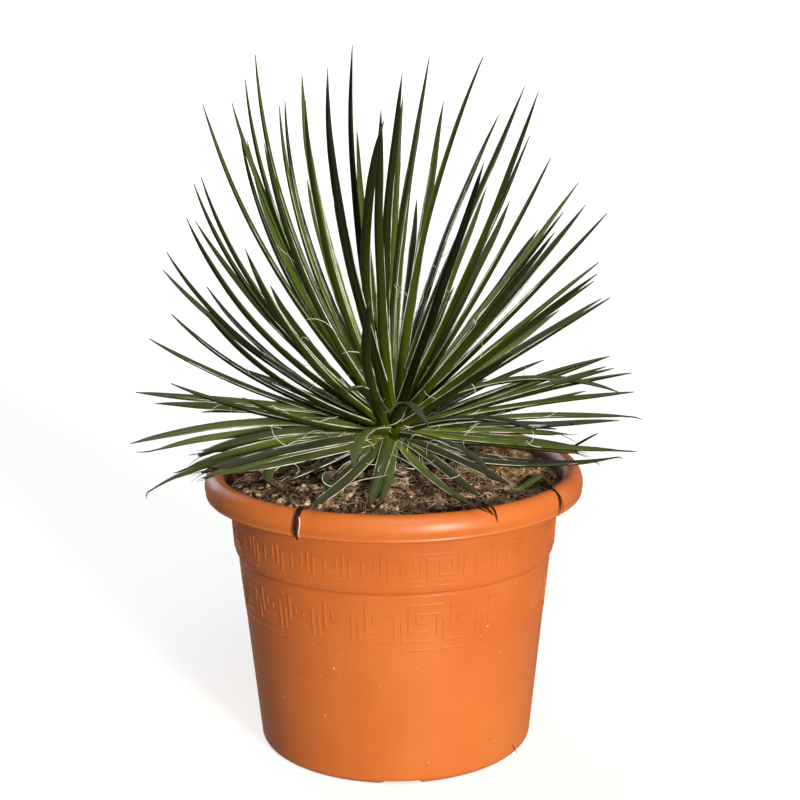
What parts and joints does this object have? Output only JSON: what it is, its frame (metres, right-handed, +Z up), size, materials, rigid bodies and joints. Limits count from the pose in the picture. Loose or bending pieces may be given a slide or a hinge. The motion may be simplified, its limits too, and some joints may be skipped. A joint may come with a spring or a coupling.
{
  "type": "potted agave",
  "caption": "Agave rosette of narrow thread-edged leaves, growing in coarse soil in a round plastic pot with a rolled rim and key-pattern bands.",
  "frame": {"origin": "the pot's axis at the level of the surface it stands on", "axes": "+Z up along the pot's axis, -Y towards the viewer of the picture, +X to the viewer's right"},
  "size_m": [0.3917, 0.3868, 0.5516],
  "materials": {
    "pot_plastic": "satin moulded polypropylene, terracotta orange",
    "potting_soil": "coarse bark, fibre and pumice mix, matt",
    "leaf": "waxy green leaf with pale margins, semi-matt"
  },
  "bodies": {
    "root": {"pot": "pot_plastic", "soil": "potting_soil", "rosette": "leaf"}
  },
  "joints": []
}
